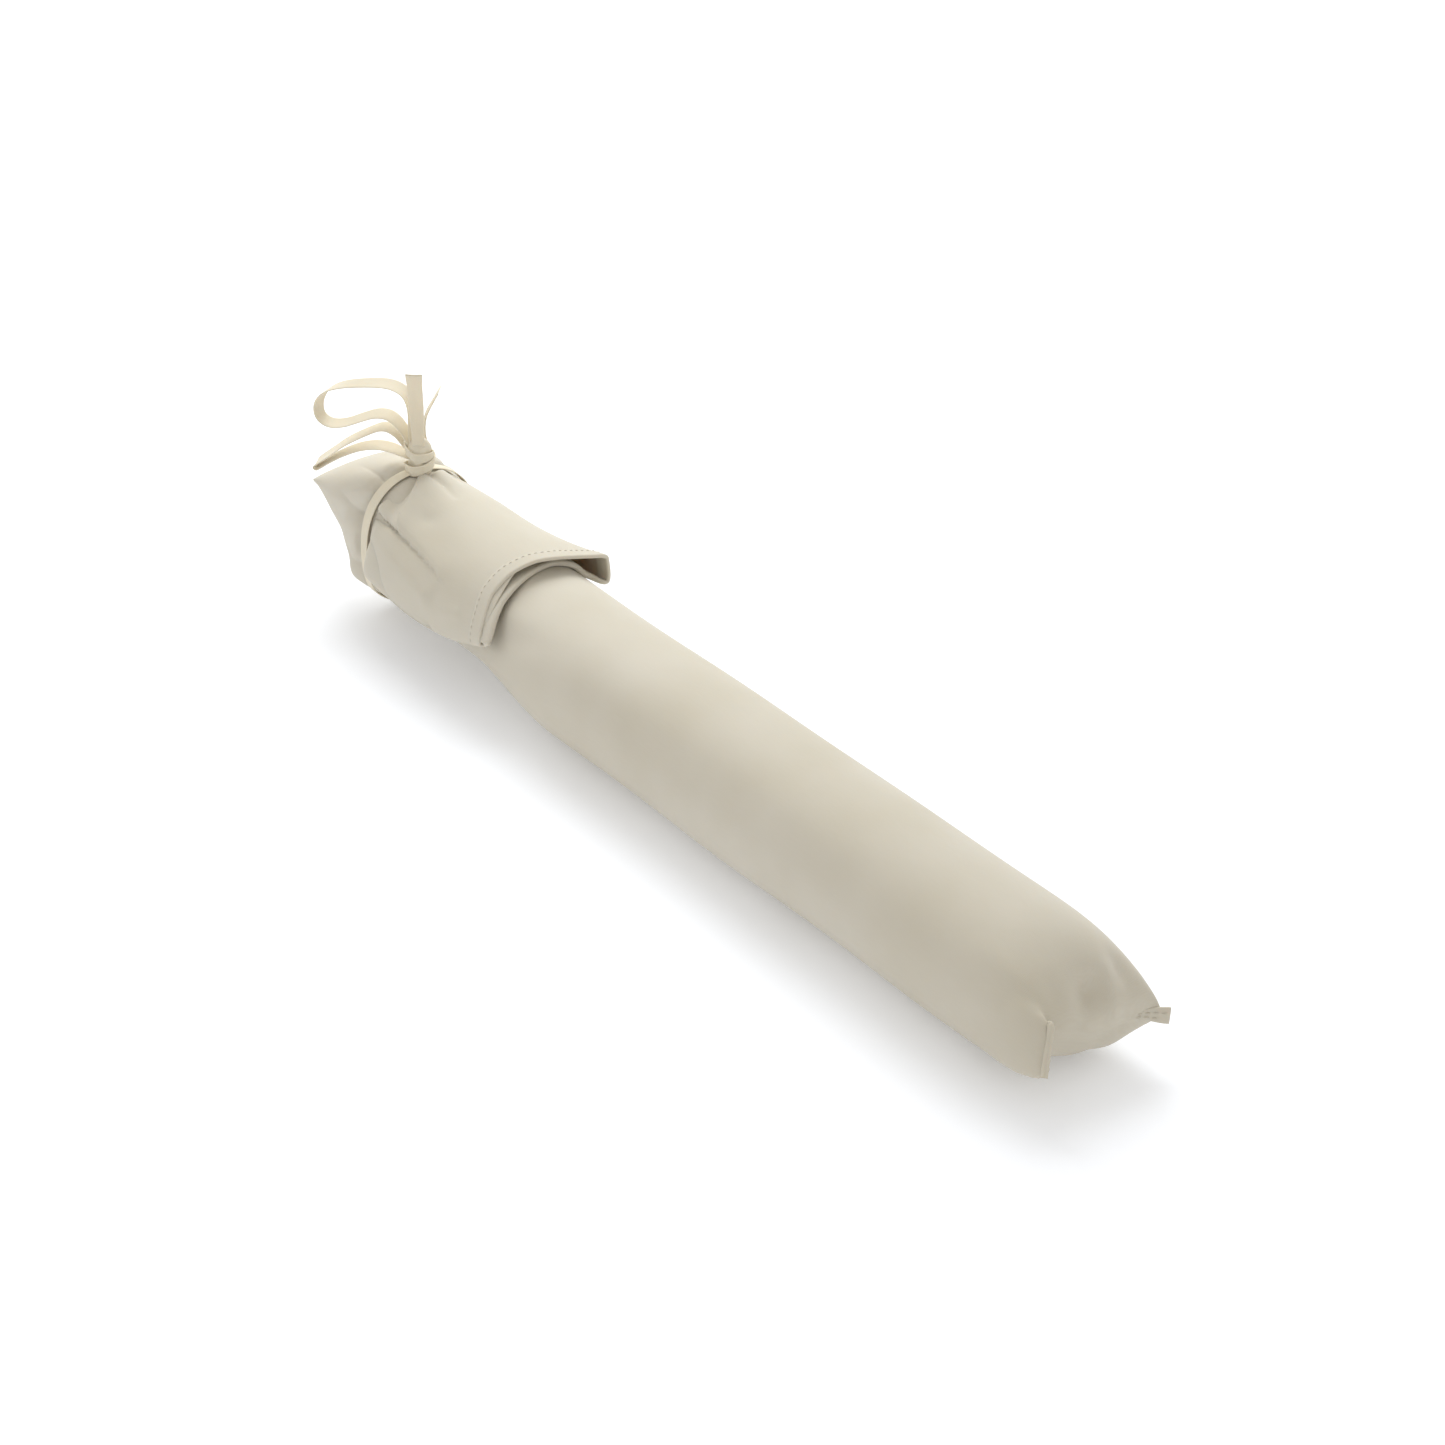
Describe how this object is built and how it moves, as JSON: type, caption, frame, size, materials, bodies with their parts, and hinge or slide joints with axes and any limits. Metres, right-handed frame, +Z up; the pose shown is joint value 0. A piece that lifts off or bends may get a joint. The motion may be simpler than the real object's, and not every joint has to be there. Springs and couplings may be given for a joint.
{
  "type": "herbal compress",
  "caption": "Long filled cotton compress bag, its open end folded back over it and tied round the neck with a flat tape bow.",
  "frame": {"origin": "on the resting surface, under the middle of the straight filled body", "axes": "+X from the tied neck along the bag to the sewn end, +Y towards the sewn long side, +Z up"},
  "size_m": [0.617, 0.0902, 0.1455],
  "materials": {
    "bag_cotton": "unbleached plain-weave cotton, matt",
    "hem_cotton": "turned cotton hem, matt",
    "thread": "cotton sewing thread",
    "tape_cotton": "woven cotton twill tape",
    "liner_muslin": "open-weave muslin",
    "herb_filling": "dried chopped herbs in a fine cotton packet"
  },
  "bodies": {
    "bag": {"bag_body": "bag_cotton", "end_seam_lip": "bag_cotton", "end_seam_stitching": "thread", "side_seam_stitching": "thread", "neck_cloth": "bag_cotton", "tie_band": "tape_cotton", "tie_knot": "tape_cotton", "liner_sleeve": "liner_muslin", "liner_ties": "thread", "herb_pack_1": "herb_filling", "herb_pack_2": "herb_filling", "herb_pack_3": "herb_filling", "herb_pack_4": "herb_filling", "herb_pack_5": "herb_filling", "herb_pack_6": "herb_filling"},
    "flap": {"flap_cloth": "bag_cotton", "mouth_hem": "hem_cotton", "hem_stitching": "thread"},
    "upper_loop": {"bow_loop_upper": "tape_cotton"},
    "lower_loop": {"bow_loop_lower": "tape_cotton"},
    "front_tail": {"tape_tail_front": "tape_cotton"},
    "back_tail": {"tape_tail_back": "tape_cotton"}
  },
  "joints": [
    {"name": "flap_lift", "type": "hinge", "parent": "bag", "child": "flap", "pos_m": [-0.255, 0, 0.0785], "axis": [0, -1, 0], "range_deg": [0, 60]},
    {"name": "upper_loop_swing", "type": "hinge", "parent": "bag", "child": "upper_loop", "pos_m": [-0.262, 0.002, 0.0983], "axis": [0, 0, 1], "range_deg": [-20, 8]},
    {"name": "lower_loop_swing", "type": "hinge", "parent": "bag", "child": "lower_loop", "pos_m": [-0.262, 0.002, 0.0876], "axis": [0, 0, 1], "range_deg": [-15, 15]},
    {"name": "front_tail_bend", "type": "hinge", "parent": "bag", "child": "front_tail", "pos_m": [-0.25779, -0.00105, 0.0983], "axis": [0.5861, 0.8102, 0], "range_deg": [-5, 20]},
    {"name": "back_tail_bend", "type": "hinge", "parent": "bag", "child": "back_tail", "pos_m": [-0.262, 0.0102, 0.0802], "axis": [-1, 0, 0], "range_deg": [0, 25]}
  ]
}
